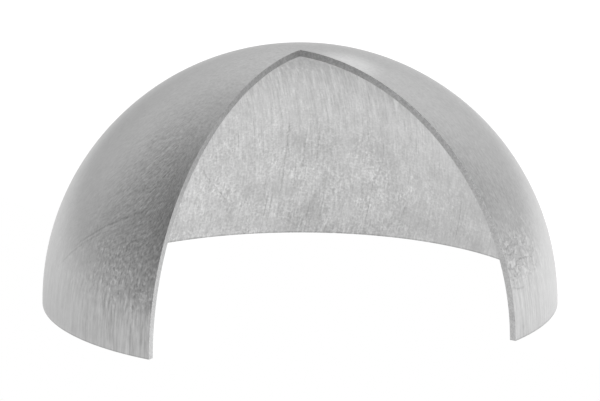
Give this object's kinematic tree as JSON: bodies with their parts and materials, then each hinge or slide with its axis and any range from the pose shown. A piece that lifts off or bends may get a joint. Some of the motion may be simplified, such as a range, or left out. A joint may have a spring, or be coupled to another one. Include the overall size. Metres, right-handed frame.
{
  "type": "pipe cap",
  "caption": "Thin hemispherical butt-weld pipe cap in satin stainless steel, with a quarter sector cut away to show the wall and the inside.",
  "frame": {"origin": "centre of the sphere, which is the centre of the rim circle, on the plane of the weld rim", "axes": "+Z from the rim plane up to the pole of the dome; the missing quarter is the quadrant x > 0, y < 0, so the two flat section faces lie in the planes x = 0 and y = 0"},
  "size_m": [0.154, 0.154, 0.077],
  "materials": {
    "drawn_stainless_steel": "pickled satin stainless sheet with meridional draw lines and a fine mottle"
  },
  "bodies": {
    "root": {"cap_shell": "drawn_stainless_steel"}
  },
  "joints": []
}
